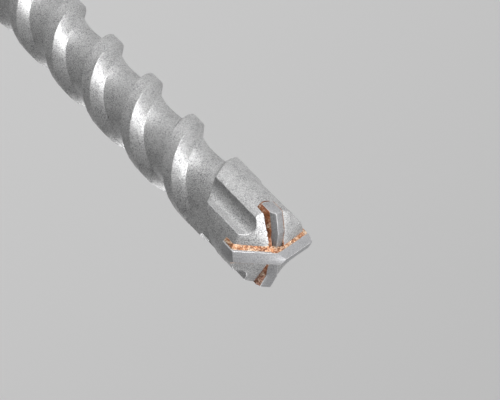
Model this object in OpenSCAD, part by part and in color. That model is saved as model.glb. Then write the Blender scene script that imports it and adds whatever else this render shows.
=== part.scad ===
/* [Overall] */
// Length from the end of the shank to the chisel edge
overall_l = 320; // [290:1:450]
// Diameter that the main cutter drills
cut_d = 22; // [21.4:0.1:23]

/* [Shank] */
// Diameter of the shank
shank_d = 18; // [17:0.1:18.4]
// Length of the shank up to the fluted part, collar included
shank_l = 120; // [115:1:130]
// Chamfer round the end of the shank
shank_chamfer = 1.2; // [0.4:0.1:2]
// Height of the cone that carries the shank over to the flutes
collar_h = 9; // [5:0.5:14]
// Diameter at the top of that cone
collar_d = 19.4; // [18.6:0.1:20]
// Width of a drive slot
drive_slot_w = 5; // [4:0.1:5.6]
// Depth of a drive slot
drive_slot_depth = 2.5; // [1.5:0.1:3]
// Length of a drive slot at its full depth
drive_slot_l = 60; // [40:1:64]
// Radius of the milling cutter that leaves each drive slot
drive_cutter_r = 11; // [8:0.5:14]
// Angles of the three drive slots round the axis
drive_slot_angles = [80, 225, 295]; // [0:1:359]
// Radius of the rounded locking pockets
lock_r = 4; // [3.5:0.1:4.2]
// Depth of the locking pockets
lock_depth = 2.4; // [1.5:0.1:2.8]
// Distance between the two round ends of a locking pocket
lock_l = 24; // [18:1:28]
// Height of a locking pocket's lower round end above the shank end
lock_from = 24; // [20:1:28]
// Angles of the two locking pockets round the axis
lock_angles = [170, 350]; // [0:1:359]

/* [Flutes] */
// Diameter over the lands
flute_d = 20.2; // [20.2:0.1:20.6]
// Advance of one flute in a full turn, with two flutes side by side
lead = 44.9; // [43:0.1:47]
// Width of a land along the axis
land_w = 4.7; // [4.2:0.1:5.2]
// Length of the sloping front of a land along the axis
front_w = 3.5; // [3:0.1:4.2]
// Radius where the sloping front meets the groove floor
foot_r = 7.55; // [7.3:0.05:7.8]
// Smallest radius of the groove floor
floor_r = 6.9; // [6.6:0.05:7.1]
// Radius where the groove floor meets the back of the next land
valley_r = 7.2; // [7.1:0.05:7.5]
// Length of the steep back of a land along the axis
back_w = 2.3; // [1.8:0.1:2.8]
// Height of the cone that ends the grooves at the shank
runout_h = 5; // [3:0.5:8]

/* [Head] */
// Diameter of the head
head_d = 20; // [19.8:0.1:20]
// Drop from the meeting point of the cutting lips to the rim of the head
rim_drop = 7.9; // [7.4:0.1:8.4]
// Slope of the coned front of the head, in degrees
front_slope = 29; // [26:1:32]
// Drop from the same point to the front of the land that opens into the head
land_drop = 31.9; // [31.6:0.1:32.4]
// Angle round the axis at which the front of that land is met
land_angle = 43; // [41:0.5:45]
// Distance of the dust channels' walls beside the main cutter from its middle plane
main_arm = 5.05; // [4.9:0.05:5.2]
// Distance of the open channels' walls beside a side cutter from the other middle plane
side_arm_open = 4.5; // [4.4:0.05:4.8]
// Distance of the closed channels' walls beside a side cutter from the same plane
side_arm_closed = 5.3; // [5:0.05:5.5]
// Fillet in the corner of an open dust channel
open_channel_r = 2.8; // [2:0.1:3]
// Fillet in the corner of a closed dust channel
closed_channel_r = 2; // [1:0.1:2.4]
// Drop to the closed end of the two short dust channels
channel_drop = 25.8; // [25:0.1:27]
// Angle before a closed channel at which the groove floor leaves the core
groove_exit = 170; // [166:1:174]

/* [Cutters] */
// Thickness of the main cutter
main_t = 3.6; // [3.3:0.1:3.8]
// Height of the main cutter below the meeting point of its lips
main_h = 11.2; // [10.6:0.1:11.4]
// Slope of the main cutting lips, in degrees
lip_slope = 24.7; // [23:0.1:26]
// Slope of the faces behind all lips, in degrees
flank_slope = 26.5; // [25:0.5:29]
// Slope of the faces before all lips, in degrees
bevel_slope = 60; // [57:1:63]
// Distance of the main lips from the middle plane of the cutter
lip_offset = 0.6; // [0.4:0.05:0.8]
// Diameter over the two side cutters
side_d = 21.2; // [20.6:0.1:21.3]
// Thickness of a side cutter
side_t = 3.2; // [3:0.1:3.4]
// Distance of a side lip from the middle plane of its cutter
side_lip_offset = 0.7; // [0.5:0.05:0.9]
// Distance by which the side cutters sit off the axis, towards their thin braze
side_shift = 0.2; // [0:0.05:0.25]
// Drop from the meeting point of the main lips to the level part of a side lip
side_drop = 3.3; // [3.1:0.1:3.7]
// Radius at which a side lip starts to fall away
side_peak = 6; // [5.4:0.1:6.6]
// Slope of the outer part of a side lip, in degrees
side_slope = 24; // [22:0.5:26]
// Drop from the meeting point of the main lips to the foot of a side cutter
side_h = 10.9; // [10.4:0.1:11.1]

/* [Brazing] */
// Thickness of the braze on the wide side of the main cutter
braze_main_w = 0.3; // [0.2:0.05:0.4]
// Thickness of the braze on the wide side of a side cutter
braze_side_w = 0.7; // [0.5:0.05:0.8]
// Width of the braze fillet behind each lip of the main cutter, at the rim
fillet_w = 0.7; // [0.5:0.05:0.8]
// Slope of that fillet, in degrees
fillet_slope = 57; // [50:1:62]
// Thickness of the braze on the narrow side of a cutter
braze_thin = 0.2; // [0.15:0.05:0.3]
// Thickness of the braze under a cutter
braze_under = 0.2; // [0.15:0.05:0.3]

/* [Hidden] */
$fn = 96;

// Half length of the blocks that stand for half spaces
reach = 3 * cut_d;
// Overlap that carries a cut past a face
past = 1;
// Steps of the twisted part in one turn
steps_per_turn = 26;
// Points across a groove floor and across a land
floor_n = 8;
land_n = 4;
// Distance from the deepest cutter slot down to the end of the fluted part
flute_stop = 0.6;
// Sink of the small end of the runout cone under the groove floor
runout_sink = 0.3;
// Rise of the hidden back of a side quarter for each unit of its width
back_rise = 0.8;
// Fall of the braze fillets for each unit of their length, a little less than the cone's
fillet_fall = 0.5;

flute_r = flute_d / 2;
head_r = head_d / 2;
shank_r = shank_d / 2;
spacing = lead / 2;
lip_z = overall_l + lip_offset * tan(flank_slope);
rim_z = lip_z - rim_drop;
cone_z = rim_z + head_r * tan(front_slope);
land_z = lip_z - land_drop;
flute_top = lip_z - max(main_h, side_h) - braze_under - flute_stop;
flute_l = flute_top - shank_l;
// Walls of the slot for the main cutter, on its wide and on its narrow braze side
main_wide = main_t / 2 + braze_main_w;
main_thin = main_t / 2 + braze_thin;

// Height of the middle of a land at an angle, on the turn that opens into the head
function land_mid(angle) = land_z - land_w / 2 + lead * (angle - land_angle) / 360;

// Radius of the groove floor, a shallow bowl between the foot and the valley
function floor_radius(s, s0, s1) =
    let (m = (s0 + s1) / 2)
    s < m
        ? floor_r + (foot_r - floor_r) * pow((m - s) / (m - s0), 2)
        : floor_r + (valley_r - floor_r) * pow((s - m) / (s1 - m), 2);

// One groove and the land ahead of it as [distance ahead of a land's front, radius]
function lobe() =
    let (
        groove_w = spacing - land_w,
        s1 = groove_w - back_w,
        floor_w = s1 - front_w
    )
    concat(
        [[0, flute_r]],
        [for (i = [0:floor_n])
            let (s = front_w + floor_w * i / floor_n)
            [s, floor_radius(s, front_w, s1)]],
        [for (i = [0:land_n - 1]) [groove_w + land_w * i / land_n, flute_r]]
    );

module above_plane(at, slope_x, slope_y) {
    translate(at)
        rotate([0, acos(1 / norm([slope_x, slope_y, 1])), atan2(-slope_y, -slope_x)])
            translate([-reach, -reach, 0])
                cube(2 * reach);
}

module below_plane(at, slope_x, slope_y) {
    translate(at)
        rotate([0, acos(1 / norm([slope_x, slope_y, 1])), atan2(-slope_y, -slope_x)])
            translate([-reach, -reach, -2 * reach])
                cube(2 * reach);
}

// Section of the fluted part, two lands and two grooves
module flute_section() {
    polygon([
        for (start = [0, 180], p = lobe())
            let (angle = start - p[0] * 360 / lead)
            [p[1] * cos(angle), p[1] * sin(angle)]
    ]);
}

module flutes() {
    translate([0, 0, shank_l])
        rotate(land_angle + (shank_l - land_z) * 360 / lead)
            linear_extrude(
                height = flute_l,
                twist = -flute_l * 360 / lead,
                slices = ceil(flute_l / lead * steps_per_turn),
                $fn = 0
            )
                flute_section();
    translate([0, 0, shank_l])
        cylinder(r1 = collar_d / 2, r2 = floor_r - runout_sink, h = runout_h);
}

// Round blank of the head with its coned front
module head_blank(from_z) {
    rotate_extrude()
        polygon([[0, from_z], [head_r, from_z], [head_r, rim_z], [0, cone_z]]);
}

// Quarter of the head round the x axis, with its back hidden in the land behind it
module main_quarter() {
    intersection() {
        head_blank(shank_l);
        linear_extrude(height = 2 * overall_l)
            polygon([[0, 0], [reach, -reach], [reach, reach]]);
        above_plane([head_r, 0, land_mid(180)], 0, lead / (2 * PI * head_r));
    }
}

// Larger part of the head round a side cutter, with the flat that ends a groove
module side_quarter() {
    exit = groove_exit - 270;
    intersection() {
        head_blank(shank_l);
        linear_extrude(height = 2 * overall_l)
            polygon([
                [0, 0],
                floor_r * [cos(exit), sin(exit)],
                floor_r * [cos(exit), sin(exit)] + reach * [-sin(exit), cos(exit)],
                [reach, reach]
            ]);
        above_plane([head_r, 0, land_mid(90)], 0, back_rise);
    }
}

// Dust channel in the first quarter with its inner corner at a point, rounded with a radius,
// down to a height, with a slanting or a flat end
module channel(corner, radius, low_z, slanting) {
    intersection() {
        translate([corner[0], corner[1], low_z])
            linear_extrude(height = reach)
                difference() {
                    square(reach);
                    difference() {
                        square(radius);
                        translate([radius, radius])
                            circle(radius);
                    }
                }
        rotate(45)
            above_plane([head_r, 0, low_z], slanting ? -1 : 0, 0);
    }
}

module main_slot() {
    translate([-reach, -main_thin, lip_z - main_h - braze_under])
        cube([2 * reach, main_thin + main_wide, reach]);
}

module main_envelope() {
    translate([-reach, -main_t / 2, lip_z - main_h])
        cube([2 * reach, main_t, reach]);
}

// Slot of a side cutter along x; wide is 1 or -1 for the side of the thick braze
module side_slot(from_x, wide) {
    low = side_t / 2 + (wide > 0 ? braze_thin : braze_side_w);
    high = side_t / 2 + (wide > 0 ? braze_side_w : braze_thin);
    translate([from_x, -low - wide * side_shift, lip_z - side_h - braze_under])
        cube([reach, low + high, reach]);
}

module side_envelope(wide) {
    translate([main_wide, -side_t / 2 - wide * side_shift, lip_z - side_h])
        cube([reach, side_t, reach]);
}

module drive_slot() {
    floor_x = shank_r - drive_slot_depth;
    translate([floor_x, -drive_slot_w / 2, -past])
        cube([reach, drive_slot_w, drive_slot_l + past]);
    translate([floor_x + drive_cutter_r, drive_slot_w / 2, drive_slot_l])
        rotate([90, 0, 0])
            cylinder(r = drive_cutter_r, h = drive_slot_w);
}

module lock_pocket() {
    translate([shank_r + lock_r - lock_depth, 0, lock_from]) {
        cylinder(r = lock_r, h = lock_l);
        sphere(r = lock_r);
        translate([0, 0, lock_l])
            sphere(r = lock_r);
    }
}

module shank() {
    difference() {
        rotate_extrude()
            polygon([
                [0, 0],
                [shank_r - shank_chamfer, 0],
                [shank_r, shank_chamfer],
                [shank_r, shank_l - collar_h],
                [collar_d / 2, shank_l],
                [0, shank_l]
            ]);
        for (angle = drive_slot_angles)
            rotate(angle)
                drive_slot();
        for (angle = lock_angles)
            rotate(angle)
                lock_pocket();
    }
}

module bit_body() {
    color([0.70, 0.70, 0.71])
        difference() {
            union() {
                shank();
                flutes();
                for (turn = [0, 180])
                    rotate(turn) {
                        main_quarter();
                        rotate(90)
                            side_quarter();
                    }
            }
            for (turn = [0, 180])
                rotate(turn) {
                    channel(
                        [side_arm_closed, main_arm], closed_channel_r, lip_z - channel_drop, true
                    );
                    rotate(90)
                        channel(
                            [main_arm, side_arm_open], open_channel_r, land_mid(90) - land_w, false
                        );
                }
            main_slot();
            rotate(90)
                side_slot(main_wide - past, 1);
            rotate(270)
                side_slot(main_thin - past, -1);
        }
}

module main_cutter() {
    color([0.60, 0.61, 0.63])
        intersection() {
            main_envelope();
            cylinder(d = cut_d, h = 2 * overall_l);
            under_lip(0, lip_slope, lip_offset, 0);
            rotate(180)
                under_lip(0, lip_slope, lip_offset, 0);
        }
}

// Room under the two faces of a lip that falls outward from a radius
module under_lip(from_x, slope, offset_y, drop) {
    at = [from_x, offset_y, lip_z - drop];
    intersection() {
        below_plane(at, -tan(slope), tan(flank_slope));
        below_plane(at, -tan(slope), -tan(bevel_slope));
    }
}

module side_cutter(wide) {
    lip_y = side_lip_offset - wide * side_shift;
    color([0.60, 0.61, 0.63])
        intersection() {
            side_envelope(wide);
            cylinder(d = side_d, h = 2 * overall_l);
            under_lip(0, 0, lip_y, side_drop);
            under_lip(side_peak, side_slope, lip_y, side_drop);
        }
}

// Fillet between the coned front and the wall of the main cutter behind its lip along +x
module main_fillet() {
    edge = [head_r, -main_t / 2 - fillet_w, rim_z];
    difference() {
        intersection() {
            translate([main_wide, -reach - main_t / 2, rim_z])
                cube(reach);
            cylinder(r = head_r, h = 2 * overall_l);
            below_plane(edge, -fillet_fall, tan(fillet_slope));
        }
        difference() {
            head_blank(land_z);
            main_slot();
        }
    }
}

module braze_main() {
    color([0.78, 0.47, 0.25]) {
        difference() {
            intersection() {
                head_blank(land_z);
                main_slot();
            }
            main_envelope();
        }
        for (turn = [0, 180])
            rotate(turn)
                main_fillet();
    }
}

module braze_side(turn, from_x, wide) {
    color([0.78, 0.47, 0.25])
        rotate(turn)
            difference() {
                intersection() {
                    head_blank(land_z);
                    side_slot(from_x, wide);
                }
                side_envelope(wide);
            }
}

bit_body();
main_cutter();
rotate(90) side_cutter(1);  // side_cutter_1
rotate(270) side_cutter(-1);  // side_cutter_2
braze_main();
braze_side(90, main_wide, 1);  // braze_side_1
braze_side(270, main_thin, -1);  // braze_side_2
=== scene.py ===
"""Finished surfaces, light and camera for a four-cutter hammer drill bit, round its solid frame."""

import math
from collections import namedtuple
from contextlib import contextmanager
from functools import partial
from types import SimpleNamespace

import bmesh
import bpy
import numpy as np
from bpy.props import FloatProperty, FloatVectorProperty, PointerProperty
from mathutils import Matrix, Vector


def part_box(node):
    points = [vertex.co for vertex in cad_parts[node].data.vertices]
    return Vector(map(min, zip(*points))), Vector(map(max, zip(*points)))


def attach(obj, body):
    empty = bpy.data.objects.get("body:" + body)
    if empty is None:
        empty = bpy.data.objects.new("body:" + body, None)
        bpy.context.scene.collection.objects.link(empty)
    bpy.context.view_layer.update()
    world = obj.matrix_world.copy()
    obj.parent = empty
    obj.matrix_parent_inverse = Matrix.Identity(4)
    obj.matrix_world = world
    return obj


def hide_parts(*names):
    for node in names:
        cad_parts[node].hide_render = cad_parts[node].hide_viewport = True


bl_info = {
    "name": "Hammer drill bit",
    "version": (1, 0, 0),
    "blender": (4, 5, 0),
    "location": "3D View > Sidebar > Drill Bit",
    "description": "Makes the steel body, carbide cutters and copper braze of a hammer drill bit",
    "category": "Mesh",
}

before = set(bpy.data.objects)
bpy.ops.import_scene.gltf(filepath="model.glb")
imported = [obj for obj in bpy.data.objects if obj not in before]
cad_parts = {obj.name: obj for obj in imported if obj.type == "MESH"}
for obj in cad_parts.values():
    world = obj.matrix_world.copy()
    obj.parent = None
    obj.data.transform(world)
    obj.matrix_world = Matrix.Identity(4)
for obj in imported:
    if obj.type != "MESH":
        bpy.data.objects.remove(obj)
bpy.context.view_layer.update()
BODY = "root"
MM = 0.001
TURN = 2 * math.pi
QUARTER = math.pi / 2
HALF_TURNS = (0.0, math.pi)
TIP_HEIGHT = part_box("main_cutter")[1].z

# Angles of the drive slots and the locking pockets round the shank
DRIVE_SLOTS = tuple(math.radians(a) for a in (80, 225, 295))
LOCK_POCKETS = tuple(math.radians(a) for a in (170, 350))

# Samples along a groove and round a turn
FLUTE_SAMPLES = 4096
TURN_SAMPLES = 7200

# Least cosine that divides, and least angle between a ray and the side of its quarter
LEAST_COSINE = 1e-3
LEAST_ANGLE = 0.05

# Share of the land drop over which the lands shrink to the head's diameter
FADE_SHARE = 0.3

# Depth of the run-out's end below the groove floor, in edge roundings
RUNOUT_SINK = 1.5

# Drop from the main slot's foot to the end of the fluted stem
STEM_DROP = 0.6 * MM

# Drop from the side quarter's land to the end of an open channel, in land widths
OPEN_DROP = 1.5

# Columns of the body's grid, and the heights round the open land's front where they turn straight
COLUMNS = 372
TWIST_BELOW = 6 * MM
TWIST_ABOVE = 1.5 * MM

# Width, as an angle, and share of the columns that crowd at the edges of each part
LAND_CROWD = (0.05, 0.6)
CHANNEL_CROWD = (0.03, 0.35)
POCKET_CROWD = (0.1, 0.4)

# Rows of the body's grid in each stretch, from the end face up to the axis again
END_ROWS = 6
POCKET_ROWS = 7
SLOT_ROWS = 10
PLAIN_ROWS = 5
COLLAR_ROWS = 14
RUNOUT_ROWS = 9
STEM_ROWS = 88
HEAD_ROWS = 112
ROUND_ROWS = 5
FRONT_ROWS = 12

# Where the rows over the drive slots end and the plain shank's start, how far the run-out's rows
# go past it, where the head's end below the rim, and a step too small to see
SLOT_OVER = 7 * MM
PLAIN_OVER = 9 * MM
RUNOUT_OVER = 1 * MM
RIM_GAP = 0.5 * MM
HAIR = 1e-6

# Steps of the round end of a drive slot
SLOT_STEPS = 33

# Distances under which points are merged, in made pieces and in copies of solids
MERGE_MADE = 1e-7
MERGE_COPY = 1e-6

# Angles in degrees that count as flat, as a ground edge and as sharp
FLAT_TURN = 1
GROUND_TURN = 20
SHARP_TURN = 32
BRAZE_SHARP = 50
GROUND_SEGMENTS = 3

# Ranges that turn noise, or the turn of a surface, into masks
PIT_NOISE = (0.38, 0.58)
PATCH_NOISE = (0.3, 0.7)
PATCH_LEVEL = (0.7, 1.3)
EDGE_COSINE = (0.997, 0.965)
BREAK_NOISE = (0.35, 0.6)
BREAK_LEVEL = (0.35, 1)
MOTTLE_NOISE = (0.85, 1.15)
EDGE_SAMPLES = 8

# Mottling and breaks of the edges, in grains, and how much rougher pits are
MOTTLE_GRAINS = 9
BREAK_GRAINS = 4
PIT_ROUGHNESS = 0.15
MOTTLE_SIZE = 1.2 * MM

# Waves that make up a grained height, and the range of their lengths in grains
GRAIN_WAVES = 48
GRAIN_LENGTHS = (0.7, 2.4)

# Runs of braze: step along the run, least height, depth into steel, share of the width that
# bulges, share of the plate's radius they stay in, size and height of the grain
BEAD_STEP = 0.11 * MM
BEAD_LEAST = 0.03 * MM
BEAD_SINK = 0.04 * MM
BEAD_BULGE = 0.08
BEAD_REACH = 0.996
BEAD_GRAIN = 0.42 * MM
BEAD_ROUGH = 0.05 * MM

# Points across a run and round the rim, share of its height that its back has, and how sharply
# the grain fades at its ends
BEAD_POINTS = 9
BEAD_BACK = 0.9
BEAD_FADE = 0.2

# A run of braze: start from the axis, widths at the axis and at the rim, all in mm, share of the
# cutter's wall that it covers, lap over the cutter in mm, seed of its grain
Run = namedtuple("Run", "start near far cover lap seed")

# Runs beside the main cutter, each with its half turns round the axis and its side of the plate
MAIN_RUNS = (
    (1, -1, Run(-0.4, 0.76, 0.82, 0.6, 0, 3)),
    (0, 1, Run(-2.2, 0.36, 0.4, 0.88, 0, 5)),
    (1, 1, Run(-0.4, 0.5, 1.0, 0.8, 0, 5)),
    (0, -1, Run(-0.4, 0.76, 0.82, 0.6, 0, 5)),
)
WIDE_RUN = Run(1.9, 0.75, 1.1, 0.96, 0, 8)
THIN_RUN = Run(1.9, 0.3, 0.35, 1.0, 0.14, 3)

# Side cutters: number, quarter turns round the axis, side of the wide braze
SIDE_CUTTERS = ((1, 1, 1), (2, 3, -1))

# Roll of braze below a side cutter: where it starts and ends across the cutter, its drop and
# radius, the share of it that falls, how its ends close, its points and its seed
ROLL_FROM = 2.2 * MM
ROLL_TO = -1.7 * MM
ROLL_DROP = 1.1 * MM
ROLL_R = 0.16 * MM
ROLL_FALL = 0.65
ROLL_ENDS = (0.02, 0.98)
ROLL_TAPER = 0.3
ROLL_STEPS = 40
ROLL_POINTS = 12
ROLL_SEED = 3

# A lamp: name, direction to the right, up and back in the picture, distance, width, height,
# power, spread in degrees
Lamp = namedtuple("Lamp", "name right up back distance width height power spread")
LAMPS = (
    Lamp("key", 0.10, 0.83, 0.52, 0.9, 0.3, 0.3, 1.4, 70),
    Lamp("front", 0.76, -0.16, 0.63, 1.0, 0.3, 0.3, 3.1, 110),
    Lamp("rim", -0.36, -0.82, -0.45, 0.8, 0.15, 0.4, 0.4, 70),
)
LIT_POINT = (0, 0, 0.27)
NEAR_CLIP = 0.01
FLOOR_ROUGHNESS = 0.9

# Strength of the surround as light, and where it is seen
SURROUND_LIGHT = 0.035
SURROUND_SEEN = 0.52
BLACK = (0, 0, 0)
WHITE = (1, 1, 1, 1)


def length(name, description, millimetres):
    """A length property, given in millimetres and kept in metres."""
    return FloatProperty(
        name=name, description=description, default=millimetres * MM, unit="LENGTH", precision=5
    )


def turned(name, description, degrees):
    """An angle property, given in degrees and kept in radians."""
    return FloatProperty(
        name=name, description=description, default=math.radians(degrees), subtype="ANGLE"
    )


def colour(name, description, value):
    """A colour property."""
    return FloatVectorProperty(
        name=name, description=description, default=value, subtype="COLOR", size=3, min=0, max=1
    )


class ShankSizes(bpy.types.PropertyGroup):
    """Sizes of the shank."""

    diameter: length("Diameter", "Diameter of the shank", 18)
    height: length("Length", "Length up to the fluted part, collar included", 120)
    chamfer: length("Chamfer", "Chamfer round the end", 1.2)
    collar_h: length("Collar height", "Height of the cone up to the flutes", 9)
    collar_d: length("Collar diameter", "Diameter at the top of that cone", 19.4)
    slot_w: length("Drive slot width", "Width of a drive slot", 5)
    slot_depth: length("Drive slot depth", "Depth of a drive slot", 2.5)
    slot_l: length("Drive slot length", "Length of a drive slot at its full depth", 60)
    slot_cutter_r: length("Drive slot run-out", "Radius of the cutter that leaves the slot", 11)
    lock_r: length("Locking pocket radius", "Radius of the two locking pockets", 4)
    lock_depth: length("Locking pocket depth", "Depth of the two locking pockets", 2.4)
    lock_l: length("Locking pocket length", "Distance between a pocket's round ends", 24)
    lock_from: length("Locking pocket height", "Height of a pocket's lower round end", 24)


class FluteSizes(bpy.types.PropertyGroup):
    """Sizes of the two flutes."""

    diameter: length("Land diameter", "Diameter over the lands", 20.2)
    lead: length("Lead", "Advance of one flute in a full turn", 44.9)
    land_w: length("Land width", "Width of a land along the axis", 4.7)
    front_w: length("Front length", "Length of a land's sloping front along the axis", 3.5)
    foot_r: length("Foot radius", "Radius where the front meets the groove floor", 7.55)
    floor_r: length("Floor radius", "Smallest radius of the groove floor", 6.9)
    valley_r: length("Valley radius", "Radius where the floor meets the next land's back", 7.2)
    back_w: length("Back length", "Length of a land's steep back along the axis", 2.3)
    runout_h: length("Run-out height", "Height of the cone that ends the grooves", 5)
    edge_r: length("Edge rounding", "Length over which the corners of a land are rounded", 0.45)


class HeadSizes(bpy.types.PropertyGroup):
    """Sizes of the head."""

    diameter: length("Diameter", "Diameter of the head", 20)
    rim_drop: length("Rim drop", "Drop from the lips' meeting point to the rim", 7.9)
    front_slope: turned("Front slope", "Slope of the coned front", 29)
    land_drop: length("Land drop", "Drop from the same point to the front of the open land", 31.9)
    land_angle: turned("Land angle", "Angle at which that front is met", 43)
    main_arm: length("Main arm", "Distance of the channels' walls beside the main cutter", 5.05)
    arm_open: length("Open side arm", "Distance of the open channels' other walls", 4.5)
    arm_closed: length("Closed side arm", "Distance of the closed channels' other walls", 5.3)
    open_r: length("Open channel fillet", "Fillet in the corner of an open dust channel", 2.8)
    closed_r: length("Closed channel fillet", "Fillet in the corner of a closed one", 2)
    channel_drop: length("Channel drop", "Drop to the end of the closed channels", 25.8)
    groove_exit: turned("Groove exit", "Angle at which the groove floor leaves the core", 170)
    back_rise: FloatProperty(
        name="Back rise", description="Rise of a side quarter's hidden back over its width", default=0.8
    )
    edge_r: length("Edge rounding", "Width over which the corners of the head are rounded", 0.22)


class CutterSizes(bpy.types.PropertyGroup):
    """Sizes of the cutters and the braze round them."""

    main_t: length("Main thickness", "Thickness of the main cutter", 3.6)
    main_h: length("Main height", "Height of the main cutter below its lips' meeting point", 11.2)
    side_t: length("Side thickness", "Thickness of a side cutter", 3.2)
    side_h: length("Side height", "Drop from the same point to the foot of a side cutter", 10.9)
    side_shift: length("Side shift", "Distance by which the side cutters sit off the axis", 0.2)
    lip_offset: length("Lip offset", "Distance of the main lips from the middle plane", 0.6)
    lip_slope: turned("Lip slope", "Slope of the main cutting lips", 24.7)
    flank_slope: turned("Flank slope", "Slope of the faces behind the lips", 26.5)
    bevel_slope: turned("Bevel slope", "Slope of the faces before the lips", 60)
    side_lip_offset: length("Side lip offset", "Distance of a side lip from its middle plane", 0.7)
    side_drop: length("Side drop", "Drop to the level part of a side lip", 3.3)
    side_peak: length("Side peak", "Radius at which a side lip starts to fall away", 6)
    side_slope: turned("Side slope", "Slope of the outer part of a side lip", 24)
    side_d: length("Side diameter", "Diameter over the two side cutters", 21.2)
    cut_d: length("Cutting diameter", "Diameter that the main cutter drills", 22)
    braze_main_w: length("Main braze", "Thickness of the braze on the main cutter's wide side", 0.3)
    braze_side_w: length("Side braze", "Thickness of the braze on a side cutter's wide side", 0.7)
    braze_thin: length("Thin braze", "Thickness of the braze on a cutter's narrow side", 0.2)
    braze_under: length("Braze under", "Thickness of the braze under a cutter", 0.2)
    edge_r: length("Edge rounding", "Rounding of the ground edges of the cutters", 0.1)


class Finishes(bpy.types.PropertyGroup):
    """Colours of the bit."""

    steel: colour("Steel", "Shot-blasted steel", (0.55, 0.55, 0.55))
    steel_pit: colour("Steel pits", "Pits and speckle of the blasted steel", (0.20, 0.20, 0.205))
    # Bright edge colour of steel and carbide: partly worn bare steel, partly painted highlight along the
    # corners.
    steel_edge_and_highlight: colour("Steel edges", "Bare steel on the corners", (0.86, 0.86, 0.86))
    carbide: colour("Carbide", "Ground carbide", (0.42, 0.42, 0.43))
    carbide_pit: colour("Carbide pits", "Grain of the carbide", (0.24, 0.24, 0.25))
    copper: colour("Copper", "Copper of the braze", (0.43, 0.19, 0.08))
    # Pale patches and edges of the braze: partly bare grains, partly painted highlight scattered over it.
    copper_pale_and_highlight: colour("Pale copper", "Bare grains of the braze", (0.72, 0.56, 0.41))
    # Browner braze beside the side cutters: partly its own colour, partly painted shade of the cutters
    # over it.
    copper_brown_and_shade: colour("Brown copper", "Copper of the braze beside the side cutters", (0.27, 0.10, 0.04))
    copper_dark: colour("Dark copper", "Flux and scale in the braze", (0.16, 0.05, 0.02))
    floor: colour("Floor", "Studio floor", (0.24, 0.24, 0.24))
    floor_glow: colour("Floor glow", "Least brightness of the floor in view", (0.40, 0.40, 0.40))
    floor_bounce: colour("Floor bounce", "Studio floor as it lights the bit", (0.08, 0.08, 0.08))


class StageSizes(bpy.types.PropertyGroup):
    """Camera and floor."""

    camera_at: FloatVectorProperty(
        name="Camera", description="Place of the camera", default=(-0.26705, 0.29391, 0.69617),
        subtype="TRANSLATION", size=3,
    )
    camera_right: FloatVectorProperty(
        name="Camera right", description="Direction to the right of the picture",
        default=(0.8599, 0.1192, 0.4963), subtype="DIRECTION", size=3,
    )
    camera_back: FloatVectorProperty(
        name="Camera back", description="Direction from the subject back to the camera",
        default=(-0.4807, 0.5164, 0.7088), subtype="DIRECTION", size=3,
    )
    lens: FloatProperty(name="Lens", description="Focal length in millimetres", default=166.2)
    floor_size: FloatProperty(
        name="Floor size", description="Side of the floor", default=12.0, unit="LENGTH"
    )


def sizes():
    """The sizes in use, with the heights that follow from them."""
    scene = bpy.context.scene
    s = SimpleNamespace(
        shank=scene.bit_shank, flute=scene.bit_flute, head=scene.bit_head, cutter=scene.bit_cutter
    )
    s.lip_z = TIP_HEIGHT + s.cutter.lip_offset * math.tan(s.cutter.flank_slope)
    s.rim_z = s.lip_z - s.head.rim_drop
    s.land_z = s.lip_z - s.head.land_drop
    s.head_r = s.head.diameter / 2
    s.flute_r = s.flute.diameter / 2
    s.shank_r = s.shank.diameter / 2
    s.spacing = s.flute.lead / 2
    s.main_wide = s.cutter.main_t / 2 + s.cutter.braze_main_w
    s.main_thin = s.cutter.main_t / 2 + s.cutter.braze_thin
    s.main_foot = s.lip_z - s.cutter.main_h - s.cutter.braze_under
    s.side_foot = s.lip_z - s.cutter.side_h - s.cutter.braze_under
    s.pocket_out = s.shank_r + s.shank.lock_r - s.shank.lock_depth
    s.twist_low = s.land_z - TWIST_BELOW
    s.twist_high = s.land_z + TWIST_ABOVE
    return s


def wrapped(angle):
    """Each angle as its equal between minus and plus half a turn."""
    return (angle + math.pi) % TURN - math.pi


def soft_max(a, b, width):
    """The larger value, raised by a parabola where the two are closer than a width."""
    near = np.clip(1 - np.abs(a - b) / width, 0, 1)
    return np.maximum(a, b) + near * near * width / 4


def soft_min(a, b, width):
    """The smaller value, lowered by a parabola where the two are closer than a width."""
    return -soft_max(-a, -b, width)


def flute_radius(s, ahead):
    """Radius at a distance ahead of a land's front: a straight slope down to the foot, two
    parabola arcs for the floor, a steep back and the level land, with the corners rounded by
    the mean over a short length."""
    f = s.flute
    groove_w = s.spacing - f.land_w
    valley = groove_w - f.back_w
    middle = (f.front_w + valley) / 2
    at = np.arange(FLUTE_SAMPLES) * s.spacing / FLUTE_SAMPLES
    corners = [0, f.front_w, valley, groove_w, s.spacing]
    radius = np.interp(at, corners, [s.flute_r, f.foot_r, f.valley_r, s.flute_r, s.flute_r])
    rise = np.where(at < middle, f.foot_r, f.valley_r) - f.floor_r
    reach = np.where(at < middle, middle - f.front_w, valley - middle)
    bowl = f.floor_r + rise * ((at - middle) / reach) ** 2
    radius = np.where((at > f.front_w) & (at < valley), bowl, radius)
    window = int(f.edge_r / s.spacing * FLUTE_SAMPLES)
    weight = np.hanning(window + 2)[1:-1]
    kernel = np.zeros(FLUTE_SAMPLES)
    kernel[:window] = weight / weight.sum()
    kernel = np.roll(kernel, -(window // 2))
    radius = np.fft.irfft(np.fft.rfft(radius) * np.fft.rfft(kernel), FLUTE_SAMPLES)
    return np.interp(ahead, at, radius, period=s.spacing)


def land_front(s, angle):
    """Height of a land's front edge at an angle, a right-hand helix."""
    return s.land_z + s.flute.lead * (angle - s.head.land_angle) / TURN


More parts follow.
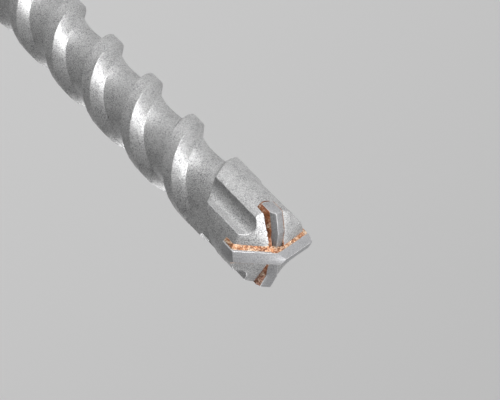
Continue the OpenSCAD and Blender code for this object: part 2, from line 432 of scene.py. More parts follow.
def shank_radius(s, angle, z):
    """Radius of the shank: a chamfered bar, cut where a ray from the axis first meets the round
    wall of a locking pocket."""
    k = s.shank
    heights = [0, k.chamfer, k.height - k.collar_h, k.height]
    bar = np.interp(z, heights, [s.shank_r - k.chamfer, s.shank_r, s.shank_r, k.collar_d / 2])
    radius = bar + 0 * angle
    past_end = np.maximum(np.maximum(k.lock_from - z, z - k.lock_from - k.lock_l), 0)
    reach = np.sqrt(np.maximum(k.lock_r**2 - past_end**2, 0))
    for pocket_angle in LOCK_POCKETS:
        a = wrapped(angle - pocket_angle)
        inside = reach**2 - (s.pocket_out * np.sin(a)) ** 2
        cut = s.pocket_out * np.cos(a) - np.sqrt(np.maximum(inside, 0))
        radius = np.where((inside > 0) & (np.cos(a) > 0), np.minimum(radius, cut), radius)
    return radius


def channel_radius(angle, corner_x, corner_y, fillet):
    """Radius at which a ray meets a dust channel in the first quarter: the farther of its two
    walls, or the fillet between them."""
    a = np.clip(angle, LEAST_ANGLE, QUARTER - LEAST_ANGLE)
    walls = np.maximum(corner_x / np.cos(a), corner_y / np.sin(a))
    centre_x, centre_y = corner_x + fillet, corner_y + fillet
    along = centre_x * np.cos(a) + centre_y * np.sin(a)
    inside = np.maximum(along**2 - centre_x**2 - centre_y**2 + fillet**2, 0)
    low, high = math.atan2(corner_y, centre_x), math.atan2(centre_y, corner_x)
    return np.where((a > low) & (a < high), along - np.sqrt(inside), walls)


def head_radius(s, angle, z):
    """Radius of the head, nought where there is none: two quarters round the main cutter, and
    two larger parts round the side cutters that start with the flat a groove runs out on."""
    f, h = s.flute, s.head
    land_mid = land_front(s, math.pi) - f.land_w / 2
    radius = np.zeros_like(angle + z)
    for turn in HALF_TURNS:
        a = wrapped(angle - turn)
        back = land_mid + f.lead * np.sin(a) / TURN
        radius = np.where((np.abs(a) <= QUARTER / 2) & (z >= back), s.head_r, radius)
    flat_at = h.groove_exit - 3 * QUARTER
    land_mid = land_front(s, QUARTER) - f.land_w / 2
    for turn in HALF_TURNS:
        a = wrapped(angle - turn - QUARTER)
        flat = f.floor_r / np.maximum(np.cos(a - flat_at), LEAST_COSINE)
        outer = np.minimum(flat, s.head_r)
        outer = np.where(a - flat_at > QUARTER, s.head_r, outer)
        outer = np.where(a > flat_at, outer, 0)
        back = land_mid + h.back_rise * outer * np.sin(a)
        radius = np.where((a <= QUARTER / 2) & (z >= back), np.maximum(radius, outer), radius)
    return radius


def body_radius(s, angle, z):
    """Radius of the body without its slots, at an angle and a height: the shank below, then the
    larger of the flutes, their run-out cone and the head, less the four dust channels."""
    f, h = s.flute, s.head
    low = s.shank.height
    flute = flute_radius(s, z - land_front(s, angle))
    fade = np.clip((z - s.land_z) / (FADE_SHARE * h.land_drop), 0, 1)
    flute = flute - (s.flute_r - s.head_r) * fade
    runout_end = f.floor_r - RUNOUT_SINK * f.edge_r
    runout = np.interp(z, [low, low + f.runout_h], [s.shank.collar_d / 2, runout_end])
    stem = soft_max(flute, runout, f.edge_r)
    head = head_radius(s, angle, z)
    outside = np.where(z > s.main_foot - STEM_DROP, head, soft_max(stem, head, h.edge_r))
    closed_z = s.lip_z - h.channel_drop
    open_z = land_front(s, QUARTER) - OPEN_DROP * f.land_w
    for turn in HALF_TURNS:
        a = wrapped(angle - turn)
        there = (a > 0) & (a < QUARTER)
        slant = (closed_z + s.head_r - z) / np.cos(a - QUARTER / 2)
        cut = soft_max(channel_radius(a, h.arm_closed, h.main_arm, h.closed_r), slant, h.edge_r)
        outside = np.where(there, soft_min(outside, cut, h.edge_r), outside)
        a = wrapped(angle - turn - QUARTER)
        there = (a > 0) & (a < QUARTER) & (z > open_z)
        cut = channel_radius(a, h.main_arm, h.arm_open, h.open_r)
        outside = np.where(there, soft_min(outside, cut, h.edge_r), outside)
    return np.where(z < low, shank_radius(s, angle, z), outside)


def crowded(start, edges, width, share):
    """A full turn of angles from start, closer together near the edges: the inverse of a running
    sum of a level density and a bell round each edge."""
    fine = np.linspace(0, TURN, TURN_SAMPLES)
    density = np.full_like(fine, (1 - share) / TURN)
    for edge in edges:
        gap = wrapped(fine + start - edge)
        bell = np.exp(-((gap / width) ** 2))
        density += share / len(edges) * bell / (width * math.sqrt(math.pi))
    total = np.concatenate([[0], np.cumsum((density[1:] + density[:-1]) / 2)])
    total /= total[-1]
    return start + np.interp(np.arange(COLUMNS) / COLUMNS, total, fine)


def closed_grid(name, points):
    """A closed mesh from a grid of points, rows by columns. The columns run round, and the first
    and last rows are each drawn together to their mean, one point."""
    rows, columns = points.shape[:2]
    inner = points[1:-1].reshape(-1, 3)
    first = points[0].mean(axis=0)
    last = points[-1].mean(axis=0)
    vertices = np.vstack([first, inner, last])
    index = 1 + np.arange((rows - 2) * columns).reshape(rows - 2, columns)
    right = np.roll(index, -1, axis=1)
    quads = np.stack([index[:-1], right[:-1], right[1:], index[1:]], axis=-1).reshape(-1, 4)
    low = np.stack([np.zeros(columns, int), right[0], index[0]], axis=-1)
    high = np.stack([np.full(columns, len(vertices) - 1), index[-1], right[-1]], axis=-1)
    made = new_piece(name, vertices, quads.tolist() + low.tolist() + high.tolist())
    with mesh_work(made) as work:
        bmesh.ops.remove_doubles(work, verts=work.verts, dist=MERGE_MADE)
        bmesh.ops.recalc_face_normals(work, faces=work.faces)
    return made


def new_piece(name, vertices, faces):
    """A new object at the origin with a mesh of vertices and faces."""
    mesh = bpy.data.meshes.new(name)
    mesh.from_pydata(vertices, [], faces)
    mesh.update()
    return link(name, mesh)


def link(name, data):
    """A new object that holds a mesh, a lamp or a camera."""
    made = bpy.data.objects.new(name, data)
    bpy.context.scene.collection.objects.link(made)
    return made


@contextmanager
def mesh_work(made):
    """An object's mesh opened for edits, and written back."""
    work = bmesh.new()
    work.from_mesh(made.data)
    yield work
    work.to_mesh(made.data)
    work.free()


def settle(made):
    """Turns an object's modifiers into mesh."""
    bpy.context.view_layer.update()
    graph = bpy.context.evaluated_depsgraph_get()
    mesh = bpy.data.meshes.new_from_object(made.evaluated_get(graph))
    made.modifiers.clear()
    made.data = mesh


def combine(made, tools, operation):
    """Adds closed meshes to a piece or takes them away, as solids, and removes them."""
    for tool in tools:
        boolean = made.modifiers.new(tool.name, "BOOLEAN")
        boolean.operation = operation
        boolean.solver = "MANIFOLD"
        boolean.object = tool
    settle(made)
    for tool in tools:
        bpy.data.objects.remove(tool)


def block(low, high):
    """A plain box between two corners: each vertex takes the low or the high value of each axis."""
    vertices = np.where(np.indices((2, 2, 2)).reshape(3, -1).T, high, low)
    faces = [(0, 1, 3, 2), (4, 6, 7, 5), (0, 4, 5, 1), (2, 3, 7, 6), (0, 2, 6, 4), (1, 5, 7, 3)]
    return new_piece("slot", vertices, faces)


def smooth(made, degrees=SHARP_TURN):
    """Smooth shading with sharp edges past an angle."""
    made.data.shade_smooth()
    made.data.set_sharp_from_angle(angle=math.radians(degrees))


def round_axis(radius, angle, z):
    """Points at a radius, an angle and a height."""
    return np.stack([radius * np.cos(angle), radius * np.sin(angle), z + 0 * angle], axis=-1)


def turned_points(points, turn):
    """Points turned round the axis by an angle."""
    x, y, z = np.moveaxis(points, -1, 0)
    across = x * math.cos(turn) - y * math.sin(turn)
    ahead = x * math.sin(turn) + y * math.cos(turn)
    return np.stack([across, ahead, z], axis=-1)


def helix_turn(s, z):
    """Turn of the flutes between the foot of the head and a height."""
    return TURN * (z - s.twist_low) / s.flute.lead


def column_sets(s):
    """Angles of the columns on the shank, the fluted stem and the head, each closer together at
    its own edges: the pockets, the corners of the lands and the walls of the channels."""
    f, h, k = s.flute, s.head, s.shank
    groove_w = s.spacing - f.land_w
    corners = (0, f.front_w, groove_w - f.back_w, groove_w)
    land_edges = [
        turn + h.land_angle + TURN * (s.twist_low - s.land_z - corner) / f.lead
        for turn in HALF_TURNS for corner in corners
    ]
    closed = (math.asin(h.main_arm / s.head_r), math.acos(h.arm_closed / s.head_r))
    opened = (math.asin(h.arm_open / s.head_r), math.acos(h.main_arm / s.head_r))
    channel_edges = [turn + edge for turn in HALF_TURNS for edge in closed]
    channel_edges += [turn + QUARTER + edge for turn in HALF_TURNS for edge in opened]
    squares = s.pocket_out**2 + s.shank_r**2 - k.lock_r**2
    half = math.acos(squares / (2 * s.pocket_out * s.shank_r))
    pocket_edges = [a + side * half for a in LOCK_POCKETS for side in (-1, 1)]
    return (
        crowded(helix_turn(s, k.height), pocket_edges, *POCKET_CROWD),
        crowded(0, land_edges, *LAND_CROWD),
        crowded(0, channel_edges, *CHANNEL_CROWD),
    )


def row_heights(s):
    """Heights of the rows from the end of the shank to just below the rim."""
    k = s.shank
    collar_z = k.height - k.collar_h
    arc = np.linspace(0, QUARTER, POCKET_ROWS)
    shank = np.unique(np.concatenate([
        [0, k.chamfer],
        k.lock_from - k.lock_r * np.cos(arc),
        k.lock_from + k.lock_l + k.lock_r * np.sin(arc),
        k.slot_l + np.linspace(0, SLOT_OVER, SLOT_ROWS),
        np.linspace(k.slot_l + PLAIN_OVER, collar_z, PLAIN_ROWS),
        np.linspace(collar_z, k.height - HAIR, COLLAR_ROWS)[1:],
    ]))
    runout = np.linspace(k.height, k.height + s.flute.runout_h + RUNOUT_OVER, RUNOUT_ROWS)
    stem = np.linspace(runout[-1], s.twist_low, STEM_ROWS)[1:]
    head = np.linspace(s.twist_low, s.rim_z - RIM_GAP, HEAD_ROWS)[1:]
    return np.concatenate([shank, runout, stem, head])[:, None]


def front_points(s, angle, wall, low_z):
    """Rows from a height below the rim to the axis: up the wall, a parabola arc round the rim
    and straight up the coned front."""
    slope = math.tan(s.head.front_slope)
    round_r = s.head.edge_r
    rim = s.rim_z + (s.head_r - wall) * slope
    down = rim - round_r
    in_r, in_z = wall - round_r, rim + round_r * slope
    t = np.linspace(0, 1, ROUND_ROWS)[:, None]
    edge_r = (1 - t) ** 2 * wall + 2 * t * (1 - t) * wall + t**2 * in_r
    edge_z = (1 - t) ** 2 * down + 2 * t * (1 - t) * rim + t**2 * in_z
    climb_z = low_z + (down - low_z) * t[1:-1]
    front_r = in_r * np.linspace(1, 0, FRONT_ROWS)[1:, None]
    front_z = s.rim_z + (s.head_r - front_r) * slope
    out = np.vstack([wall + 0 * climb_z, edge_r, front_r])
    return round_axis(out, angle, np.vstack([climb_z, edge_z, front_z]))


def body_points(s):
    """The body as a grid: across the shank's end face from the axis, up the outside, round the
    rim and over the coned front back to the axis. In the fluted part the columns follow the
    helix, and near the head they turn into straight ones."""
    k = s.shank
    shank_set, stem_set, head_set = column_sets(s)
    z = row_heights(s)
    straight = np.clip((z - s.twist_low) / (s.twist_high - s.twist_low), 0, 1)
    straight = straight * straight * (3 - 2 * straight)
    stem_angle = stem_set + helix_turn(s, np.minimum(z, s.twist_high))
    angle = stem_angle * (1 - straight) + head_set * straight
    blend = np.clip((z - (k.height - k.collar_h)) / k.collar_h, 0, 1)
    angle = np.where(z < k.height, shank_set * (1 - blend) + stem_angle * blend, angle)
    radius = body_radius(s, angle, z)
    side = round_axis(radius, angle, z)
    end = side[:1] * np.linspace(0, 1, END_ROWS)[:-1, None, None]
    return np.vstack([end, side, front_points(s, angle[-1], radius[-1], z[-1])])


def drive_cutter(s, angle):
    """The path of the cutter that mills a drive slot: a rectangle from the floor outwards, with
    one corner rounded by the cutter's radius, carried over the width of the slot."""
    k = s.shank
    t = np.linspace(0, QUARTER, SLOT_STEPS)
    floor = s.shank_r - k.slot_depth
    far = floor + k.slot_cutter_r
    out = np.concatenate([[far, floor], far - k.slot_cutter_r * np.cos(t)])
    up = np.concatenate([[-k.chamfer, -k.chamfer], k.slot_l + k.slot_cutter_r * np.sin(t)])
    across = np.array([-1, -1, 1, 1])[:, None] * k.slot_w / 2
    path = np.stack([out + 0 * across, across + 0 * out, up + 0 * across], axis=-1)
    return closed_grid("slot", turned_points(path, angle))


def cut_slots(s, made):
    """Cuts the slots of the three cutters into the head, and the drive slots into the shank."""
    c = s.cutter
    reach = s.head.diameter
    wide = c.side_t / 2 + c.braze_side_w - c.side_shift
    thin = c.side_t / 2 + c.braze_thin + c.side_shift
    top = s.main_foot + reach
    tools = [block((-reach, -s.main_thin, s.main_foot), (reach, s.main_wide, top))]
    for y in (0, -reach):
        tools.append(block((-wide, y, s.side_foot), (thin, y + reach, s.side_foot + reach)))
    tools += [drive_cutter(s, angle) for angle in DRIVE_SLOTS]
    combine(made, tools, "DIFFERENCE")


def merged_copy(node_name, name):
    """A CAD node's own shape with its triangles joined."""
    made = link(name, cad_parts[node_name].data.copy())
    with mesh_work(made) as work:
        bmesh.ops.remove_doubles(work, verts=work.verts, dist=MERGE_COPY)
    return made


def ground_copy(node_name, name, width):
    """A CAD node's own shape as whole faces, with its edges rounded."""
    made = merged_copy(node_name, name)
    with mesh_work(made) as work:
        bmesh.ops.dissolve_limit(
            work, angle_limit=math.radians(FLAT_TURN), verts=work.verts, edges=work.edges
        )
    bevel = made.modifiers.new("ground edges", "BEVEL")
    bevel.width = width
    bevel.segments = GROUND_SEGMENTS
    bevel.limit_method = "ANGLE"
    bevel.angle_limit = math.radians(GROUND_TURN)
    settle(made)
    return made


def node(tree, kind, **values):
    """A node with some of its settings and unlinked inputs set."""
    made = tree.nodes.new(kind)
    for key, value in values.items():
        if hasattr(made, key):
            setattr(made, key, value)
        else:
            made.inputs[key.replace("_", " ")].default_value = value
    return made


def noise(tree, size, **values):
    """Noise on object coordinates, with one over a size as its scale."""
    place = node(tree, "ShaderNodeTexCoord")
    scale = node(tree, "ShaderNodeMath", operation="DIVIDE")
    scale.inputs[0].default_value = 1
    cloud = node(tree, "ShaderNodeTexNoise", **values)
    tree.links.new(size, scale.inputs[1])
    tree.links.new(place.outputs["Object"], cloud.inputs["Vector"])
    tree.links.new(scale.outputs[0], cloud.inputs["Scale"])
    return cloud.outputs["Fac"]


def ranged(tree, value, start, end=(0, 1), kind="LINEAR"):
    """A value mapped from one range to another, and held at its ends."""
    made = node(tree, "ShaderNodeMapRange", interpolation_type=kind)
    for label, number in zip(("From Min", "From Max", "To Min", "To Max"), (*start, *end)):
        made.inputs[label].default_value = number
    tree.links.new(value, made.inputs["Value"])
    return made.outputs["Result"]


def maths(tree, operation, first, second, clamp=False):
    """One of Blender's maths operations on two values."""
    made = node(tree, "ShaderNodeMath", operation=operation, use_clamp=clamp)
    tree.links.new(first, made.inputs[0])
    tree.links.new(second, made.inputs[1])
    return made.outputs[0]


def mixed(tree, share, first, second):
    """Two colours mixed by a share, each a socket or a plain colour."""
    made = node(tree, "ShaderNodeMix", data_type="RGBA")
    tree.links.new(share, made.inputs["Factor"])
    for value, place in ((first, made.inputs[6]), (second, made.inputs[7])):
        if isinstance(value, bpy.types.NodeSocket):
            tree.links.new(value, place)
        else:
            place.default_value = (*value, 1)
    return made.outputs[2]


def new_group(name, inputs, outputs):
    """A node group with named sockets, values where a number is given and colours elsewhere,
    and the sockets of its input and output nodes."""
    tree = bpy.data.node_groups.new(name, "ShaderNodeTree")
    for into, sockets in (("INPUT", inputs), ("OUTPUT", outputs)):
        for label, number in sockets.items():
            kind = "NodeSocketColor" if number is None else "NodeSocketFloat"
            made = tree.interface.new_socket(name=label, in_out=into, socket_type=kind)
            if number is not None:
                made.default_value = number
    return tree, node(tree, "NodeGroupInput").outputs, node(tree, "NodeGroupOutput").inputs


def grain_group():
    """Node group: fine speckle, broad mottling and their height, for blasted or sintered faces."""
    tree, given, out = new_group(
        "blast_grain",
        {
            "Grain Size": 0.3 * MM, "Mottle Size": 3 * MM, "Face Colour": None,
            "Pit Colour": None, "Pits": 0.5,
        },
        {"Colour": None, "Mask": 0, "Height": 0},
    )
    fine = noise(tree, given["Grain Size"], Detail=3.0, Roughness=0.65)
    broad = noise(tree, given["Mottle Size"], Detail=2.0, Roughness=0.5)
    pits = ranged(tree, fine, PIT_NOISE, (1, 0), "SMOOTHSTEP")
    patch = ranged(tree, broad, PATCH_NOISE, PATCH_LEVEL)
    amount = maths(tree, "MULTIPLY", pits, patch)
    share = maths(tree, "MULTIPLY", amount, given["Pits"], clamp=True)
    face = mixed(tree, share, given["Face Colour"], given["Pit Colour"])
    tree.links.new(face, out["Colour"])
    tree.links.new(share, out["Mask"])
    tree.links.new(fine, out["Height"])
    return tree


def edge_group():
    """Node group: a mask of the edges, from how far the surface turns within a small radius, that paints
    them in a brighter colour: partly wear, partly painted highlight.
    """
    tree, given, out = new_group(
        "edge_wear_and_highlight",
        {
            "Colour": None, "Edge Colour": None, "Wear": 1, "Break Size": 1 * MM,
            "Reach": 0.3 * MM,
        },
        {"Colour": None, "Mask": 0},
    )
    rounded = node(tree, "ShaderNodeBevel", samples=EDGE_SAMPLES)
    tree.links.new(given["Reach"], rounded.inputs["Radius"])
    flat = node(tree, "ShaderNodeNewGeometry")
    turn = node(tree, "ShaderNodeVectorMath", operation="DOT_PRODUCT")
    tree.links.new(rounded.outputs["Normal"], turn.inputs[0])
    tree.links.new(flat.outputs["Normal"], turn.inputs[1])
    edge = ranged(tree, turn.outputs["Value"], EDGE_COSINE)
    broken = noise(tree, given["Break Size"], Detail=3.0)
    patch = ranged(tree, broken, BREAK_NOISE, BREAK_LEVEL)
    amount = maths(tree, "MULTIPLY", edge, patch)
    share = maths(tree, "MULTIPLY", amount, given["Wear"], clamp=True)
    tree.links.new(mixed(tree, share, given["Colour"], given["Edge Colour"]), out["Colour"])
    tree.links.new(share, out["Mask"])
    return tree


def mottle_group():
    """Node group: patches of a second colour in a first one."""
    tree, given, out = new_group(
        "braze_mottle",
        {"Size": 1 * MM, "Level": 0.5, "Ground Colour": None, "Patch Colour": None},
        {"Colour": None},
    )
    raised = maths(tree, "ADD", noise(tree, given["Size"], Detail=2.0), given["Level"])
    share = ranged(tree, raised, MOTTLE_NOISE, kind="SMOOTHSTEP")
    patched = mixed(tree, share, given["Ground Colour"], given["Patch Colour"])
    tree.links.new(patched, out["Colour"])
    return tree


def placed(tree, name, make, **values):
    """A node group in a material, made once, with its inputs set by name."""
    group = bpy.data.node_groups.get(name) or make()
    made = tree.nodes.new("ShaderNodeGroup")
    made.name = name
    made.node_tree = group
    for key, value in values.items():
        made.inputs[key.replace("_", " ")].default_value = value
    return made


def metal(name, face, pits, edge, grain, pit_share, wear_and_highlight, reach, metallic, rough, relief):
    """A grained metal: grain and edge groups into colour, roughness and bump."""
    material = bpy.data.materials.new(name)
    material.use_nodes = True
    tree = material.node_tree
    shader = tree.nodes["Principled BSDF"]
    shader.inputs["Metallic"].default_value = metallic
    grained = placed(
        tree, "blast_grain", grain_group, Grain_Size=grain, Mottle_Size=grain * MOTTLE_GRAINS,
        Face_Colour=(*face, 1), Pit_Colour=(*pits, 1), Pits=pit_share,
    )
    # Edges painted brighter: partly worn bare metal, partly painted highlight.
    worn_and_highlit = placed(
        tree, "edge_wear_and_highlight", edge_group, Edge_Colour=(*edge, 1), Wear=wear_and_highlight,
        Break_Size=grain * BREAK_GRAINS, Reach=reach,
    )
    tree.links.new(grained.outputs["Colour"], worn_and_highlit.inputs["Colour"])
    tree.links.new(worn_and_highlit.outputs["Colour"], shader.inputs["Base Color"])
    roughness = ranged(tree, grained.outputs["Mask"], (0, 1), (rough, rough + PIT_ROUGHNESS))
    tree.links.new(roughness, shader.inputs["Roughness"])
    bump = node(tree, "ShaderNodeBump", Strength=1.0, Distance=relief)
    tree.links.new(grained.outputs["Height"], bump.inputs["Height"])
    tree.links.new(bump.outputs["Normal"], shader.inputs["Normal"])
    return material


def blasted_steel():
    """Shot-blasted steel of the body."""
    c = bpy.context.scene.bit_finish
    return metal(
        "blasted_steel", c.steel, c.steel_pit, c.steel_edge_and_highlight, grain=0.24 * MM, pit_share=0.95,
        wear_and_highlight=0.8, reach=0.2 * MM, metallic=0.6, rough=0.44, relief=0.06 * MM,
    )


def ground_carbide():
    """Sintered and ground carbide of the cutters."""
    c = bpy.context.scene.bit_finish
    # The carbide's ground edges take the bright edge colour: painted highlight along the cutting edges.
    return metal(
        "ground_carbide", c.carbide, c.carbide_pit, c.steel_edge_and_highlight, grain=0.26 * MM, pit_share=0.8,
        wear_and_highlight=1.0, reach=0.3 * MM, metallic=0.5, rough=0.37, relief=0.03 * MM,
    )


def copper_braze(name, ground, level, pit_share):
    """Granular copper braze with pale patches and pale edges, each partly painted highlight."""
    c = bpy.context.scene.bit_finish
    material = metal(
        name, ground, c.copper_dark, c.copper_pale_and_highlight, grain=0.42 * MM, pit_share=pit_share,
        wear_and_highlight=0.5, reach=0.15 * MM, metallic=0.35, rough=0.45, relief=0.1 * MM,
    )
    tree = material.node_tree
    mottled = placed(
        tree, "braze_mottle", mottle_group, Size=MOTTLE_SIZE, Level=level,
        Ground_Colour=(*ground, 1), Patch_Colour=(*c.copper_pale_and_highlight, 1),
    )
    tree.links.new(mottled.outputs["Colour"], tree.nodes["blast_grain"].inputs["Face Colour"])
    return material


def finish_piece(made, material, slot, *nodes):
    """Gives a piece its material, hangs it on the body and hides the CAD nodes that it replaces."""
    made.data.materials.clear()
    made.data.materials.append(material)
    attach(made, BODY)
    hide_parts(*nodes)


class BIT_OT_body(bpy.types.Operator):
    """Make the shank, flutes and head as one body of blasted steel"""

    bl_idname = "bit.body"
    bl_label = "Steel body"

    def execute(self, context):
        s = sizes()
        made = closed_grid("steel_body", body_points(s))
        cut_slots(s, made)
        smooth(made)
        finish_piece(made, blasted_steel(), "steel", "bit_body")
        return {"FINISHED"}


class BIT_OT_cutters(bpy.types.Operator):
    """Make the three carbide cutters with their ground edges"""

    bl_idname = "bit.cutters"
    bl_label = "Carbide cutters"

    def execute(self, context):
        s = sizes()
        material = ground_carbide()
        for name in ("main_cutter", "side_cutter_1", "side_cutter_2"):
            made = ground_copy(name, "ground_" + name, s.cutter.edge_r)
            smooth(made)
            finish_piece(made, material, "carbide", name)
        return {"FINISHED"}


def cone_height(s, x, y):
    """Height of the coned front over a point: a level fall from the axis, held at the rim."""
    out = np.minimum(np.hypot(x, y), s.head_r)
    return s.rim_z + (s.head_r - out) * math.tan(s.head.front_slope)


def lip_faces(across, flank_slope, bevel_slope):
    """Drop of the two faces of a lip at a distance across it, nought at the lip itself."""
    return np.minimum(across * math.tan(flank_slope), -across * math.tan(bevel_slope))


def main_top(s, x, y):
    """Height of the main cutter's top: the lower of its two lips' faces, where each lip falls
    outward with a level slope."""
    c = s.cutter
    fall = math.tan(c.lip_slope)
    one = lip_faces(y - c.lip_offset, c.flank_slope, c.bevel_slope) - fall * x
    other = lip_faces(-y - c.lip_offset, c.flank_slope, c.bevel_slope) + fall * x
    return s.lip_z + np.minimum(one, other)


def side_top(s, wide, x, y):
    """Height of a side cutter's top: level out to the peak, then falling away."""
    c = s.cutter
    fall = math.tan(c.side_slope) * np.maximum(x - c.side_peak, 0)
    across = y - (c.side_lip_offset - wide * c.side_shift)
    return s.lip_z - c.side_drop - fall + lip_faces(across, c.flank_slope, c.bevel_slope)


def granular(points, seed):
    """Uneven height between about -1 and 1 at each point: the mean of many sine waves with
    random directions, with wavelengths round the grain size."""
    draw = np.random.default_rng(seed)
    way = draw.normal(size=(GRAIN_WAVES, 3))
    way /= np.linalg.norm(way, axis=1, keepdims=True)
    way *= TURN / (BEAD_GRAIN * draw.uniform(*GRAIN_LENGTHS, size=(GRAIN_WAVES, 1)))
    phase = draw.uniform(0, TURN, size=GRAIN_WAVES)
    return np.sin(points @ way.T + phase).sum(axis=-1) / math.sqrt(GRAIN_WAVES)


def bead(s, turn, wall, top, plate_r, low_z, run):
    """A run of braze in the corner between a cutter's wall and the steel: over the coned front
    from the axis to the rim, round the rim and down the head. Across the run, a straight line
    from the steel up to a share of the wall's bare height bulges by a parabola and is roughened
    by its own grain, and its back is sunk into steel and cutter."""
    side = math.copysign(1, wall)
    near, far = run.near * MM, run.far * MM
    rim_x = math.sqrt(s.head_r**2 - wall**2)
    front_x = np.arange(run.start * MM, rim_x, BEAD_STEP)
    round_rim = np.linspace(0, 1, BEAD_POINTS)[1:-1]
    down_z = np.arange(s.rim_z, low_z, -BEAD_STEP)
    x = np.concatenate([front_x, np.full(len(round_rim) + len(down_z), rim_x)])
    tilt = np.concatenate([0 * front_x, round_rim, 1 + 0 * down_z]) * QUARTER
    share = np.clip(x / rim_x, 0, 1)
    width = near + (far - near) * share**2
    base_z = cone_height(s, x, wall)
    base_z[len(x) - len(down_z):] = down_z
    bare = np.maximum((top(x, wall) - base_z) * run.cover, BEAD_LEAST)
    out = run.cover * (math.sqrt(plate_r**2 - wall**2) - rim_x)
    rise = bare * (1 - tilt / QUARTER) + out * tilt / QUARTER
    up = np.stack([np.sin(tilt), 0 * tilt, np.cos(tilt)], axis=-1)
    foot_y = wall + side * width
    foot_x = np.where(tilt > 0, np.sqrt(s.head_r**2 - foot_y**2), x)
    foot_x = np.minimum(foot_x, np.sqrt(s.head_r**2 - foot_y**2))
    foot_z = np.where(tilt > 0, np.minimum(base_z, s.rim_z), cone_height(s, foot_x, foot_y))
    foot = np.stack([foot_x, foot_y, foot_z], axis=-1) - up * BEAD_SINK
    base = np.stack([x, wall + 0 * x, base_z], axis=-1)
    outward = np.array([0, side, 0])
    crest = base + up * rise[:, None] + outward * run.lap * MM
    slant = crest - foot
    normal = np.cross(slant, np.cross(outward + up, slant))
    normal /= np.linalg.norm(normal, axis=-1, keepdims=True)
    f = np.linspace(0, 1, BEAD_POINTS)[None, :, None]
    bulge = 4 * f * (1 - f) * BEAD_BULGE * width[:, None, None]
    skin = foot[:, None] + slant[:, None] * f
    grain = granular(skin, run.seed)
    ends = np.sin(np.linspace(0, math.pi, len(x))) ** BEAD_FADE
    skin = skin + normal[:, None] * (bulge + BEAD_ROUGH * grain[..., None] * ends[:, None, None])
    inside = outward * 2 * BEAD_SINK
    below = up * 4 * BEAD_SINK
    back = np.stack([
        base + up * rise[:, None] * BEAD_BACK - inside, base - below - inside, foot - below
    ], axis=1)
    ring = np.concatenate([skin, back], axis=1)
    reach = plate_r / np.hypot(ring[..., 0], ring[..., 1])
    ring[..., :2] *= np.minimum(1, reach * BEAD_REACH)[..., None]
    return closed_grid("run", turned_points(ring, turn))


def foot_roll(s, turn, wide):
    """A thin roll of braze on the head's wall below a side cutter: a circle carried round the
    wall from the wide run's end, down by a quarter sine and then level to the other side."""
    t = np.linspace(0, 1, ROLL_STEPS)
    y = wide * (ROLL_FROM + (ROLL_TO - ROLL_FROM) * t)
    angle = turn + np.arcsin(y / s.head_r)
    radial = np.stack([np.cos(angle), np.sin(angle), 0 * angle], axis=-1)
    centre = radial * s.head_r
    fall = np.sin(np.minimum(t / ROLL_FALL, 1) * QUARTER)
    centre[:, 2] = s.lip_z - s.cutter.side_h - ROLL_DROP * fall
    around = np.linspace(0, TURN, ROLL_POINTS, endpoint=False)[None, :, None]
    thick = ROLL_R * np.sin(np.clip(t, *ROLL_ENDS) * math.pi) ** ROLL_TAPER
    spoke = np.cos(around) * radial[:, None] + np.sin(around) * np.array([0, 0, 1])
    ring = centre[:, None] + thick[:, None, None] * spoke
    ring = ring + radial[:, None] * granular(ring, ROLL_SEED)[..., None] * BEAD_SINK
    return closed_grid("roll", ring)


class BIT_OT_braze(bpy.types.Operator):
    """Make the copper braze round each cutter"""

    bl_idname = "bit.braze"
    bl_label = "Copper braze"

    def execute(self, context):
        s = sizes()
        c = s.cutter
        colours = context.scene.bit_finish
        top = partial(main_top, s)
        runs = [
            bead(s, turns * math.pi, side * c.main_t / 2, top, c.cut_d / 2, s.main_foot, run)
            for turns, side, run in MAIN_RUNS
        ]
        # More pale patches on the main cutter's braze: partly its own colour, partly painted highlight.
        material = copper_braze("pale_highlit_braze", colours.copper, level=0.46, pit_share=0.95)
        self.braze("braze_main", runs, material)
        # Browner braze round the side cutters, partly painted shade.
        material = copper_braze("dark_shaded_braze", colours.copper_brown_and_shade, level=0.38, pit_share=1.0)
        for number, quarters, wide in SIDE_CUTTERS:
            turn = quarters * QUARTER
            top = partial(side_top, s, wide)
            near = wide * (c.side_t / 2 - c.side_shift)
            off = -wide * (c.side_t / 2 + c.side_shift)
            runs = [
                bead(s, turn, near, top, c.side_d / 2, s.side_foot, WIDE_RUN),
                bead(s, turn, off, top, c.side_d / 2, s.side_foot, THIN_RUN),
                foot_roll(s, turn, wide),
            ]
            self.braze("braze_side_%d" % number, runs, material)
        return {"FINISHED"}

    def braze(self, node_name, runs, material):
        """The braze in a slot and its runs as one piece."""
        made = merged_copy(node_name, "copper_" + node_name)
        combine(made, runs, "UNION")
        smooth(made, BRAZE_SHARP)
        finish_piece(made, material, "braze", node_name)


def lamp(given, target, direction):
    """A soft rectangular lamp that points at a target from a direction."""
    data = bpy.data.lights.new(given.name, "AREA")
    data.shape = "RECTANGLE"
    data.size = given.width
    data.size_y = given.height
    data.energy = given.power
    data.spread = math.radians(given.spread)
    made = link(given.name, data)
    made.location = target + direction * given.distance
    made.rotation_mode = "QUATERNION"
    made.rotation_quaternion = (-direction).to_track_quat("-Z", "Y")


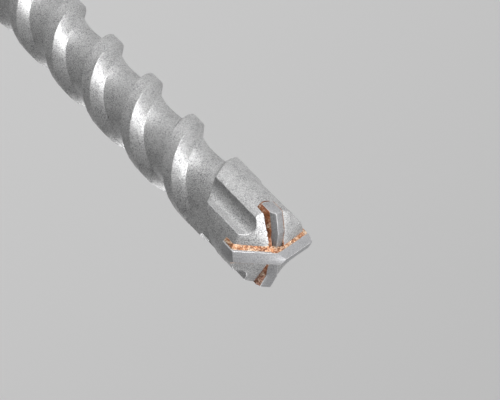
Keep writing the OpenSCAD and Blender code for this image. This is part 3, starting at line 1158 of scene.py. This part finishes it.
class BIT_OT_stage(bpy.types.Operator):
    """Make the floor, the studio light and the camera"""

    bl_idname = "bit.stage"
    bl_label = "Stage"

    def execute(self, context):
        scene = context.scene
        stage = scene.bit_stage
        scene.view_settings.view_transform = "Standard"
        self.floor(scene.bit_finish, stage.floor_size / 2)
        self.world(scene)
        right = Vector(stage.camera_right).normalized()
        back = Vector(stage.camera_back).normalized()
        up = back.cross(right).normalized()
        right = up.cross(back).normalized()
        data = bpy.data.cameras.new("camera")
        data.lens = stage.lens
        data.clip_start = NEAR_CLIP
        scene.camera = link("camera", data)
        facing = Matrix((right, up, back)).transposed().to_4x4()
        scene.camera.matrix_world = Matrix.Translation(stage.camera_at) @ facing
        for given in LAMPS:
            direction = right * given.right + up * given.up + back * given.back
            lamp(given, Vector(LIT_POINT), direction.normalized())
        return {"FINISHED"}

    def floor(self, colours, half):
        """A plain floor at the foot of the bit, darker where it lights the bit than in view."""
        corners = [(-half, -half, 0), (half, -half, 0), (half, half, 0), (-half, half, 0)]
        made = new_piece("floor", corners, [(0, 1, 2, 3)])
        material = bpy.data.materials.new("floor")
        material.use_nodes = True
        tree = material.node_tree
        shader = tree.nodes["Principled BSDF"].inputs
        shader["Roughness"].default_value = FLOOR_ROUGHNESS
        shader["Emission Strength"].default_value = 1
        face = mixed(tree, self.seen(tree), colours.floor_bounce, colours.floor)
        glow = mixed(tree, self.seen(tree), BLACK, colours.floor_glow)
        tree.links.new(face, shader["Base Color"])
        tree.links.new(glow, shader["Emission Color"])
        made.data.materials.append(material)

    def seen(self, tree):
        """One for a camera, glossy or transmission ray, nought for the light on the object."""
        rays = node(tree, "ShaderNodeLightPath").outputs
        either = maths(tree, "MAXIMUM", rays["Is Camera Ray"], rays["Is Glossy Ray"])
        return maths(tree, "MAXIMUM", either, rays["Is Transmission Ray"])

    def world(self, scene):
        """A pale surround: bright to the camera and in reflections, dimmer as light."""
        scene.world = bpy.data.worlds.new("surround")
        scene.world.use_nodes = True
        tree = scene.world.node_tree
        back = tree.nodes["Background"].inputs
        back["Color"].default_value = WHITE
        level = ranged(tree, self.seen(tree), (0, 1), (SURROUND_LIGHT, SURROUND_SEEN))
        tree.links.new(level, back["Strength"])


class BIT_PT_panel(bpy.types.Panel):
    """Sizes and colours of the bit, and its makers"""

    bl_label = "Hammer drill bit"
    bl_idname = "BIT_PT_panel"
    bl_space_type = "VIEW_3D"
    bl_region_type = "UI"
    bl_category = "Drill Bit"

    def draw(self, context):
        layout = self.layout
        for name, kind in GROUPS.items():
            box = layout.box()
            box.label(text=kind.__doc__)
            group = getattr(context.scene, name)
            for key in kind.__annotations__:
                box.prop(group, key)
        for operator in OPERATORS:
            layout.operator(operator.bl_idname)


GROUPS = {
    "bit_shank": ShankSizes,
    "bit_flute": FluteSizes,
    "bit_head": HeadSizes,
    "bit_cutter": CutterSizes,
    "bit_finish": Finishes,
    "bit_stage": StageSizes,
}
OPERATORS = (BIT_OT_stage, BIT_OT_body, BIT_OT_cutters, BIT_OT_braze)


def register():
    """Registers the groups, the operators and the panel."""
    for kind in (*GROUPS.values(), *OPERATORS, BIT_PT_panel):
        bpy.utils.register_class(kind)
    for name, kind in GROUPS.items():
        setattr(bpy.types.Scene, name, PointerProperty(type=kind))


def unregister():
    """Takes the panel, the operators and the groups out again."""
    for name in GROUPS:
        delattr(bpy.types.Scene, name)
    for kind in (BIT_PT_panel, *reversed(OPERATORS), *reversed(GROUPS.values())):
        bpy.utils.unregister_class(kind)


def main():
    """Makes the stage and the pieces in order."""
    register()
    bpy.ops.bit.stage()
    bpy.ops.bit.body()
    bpy.ops.bit.cutters()
    bpy.ops.bit.braze()


if __name__ == "__main__":
    main()
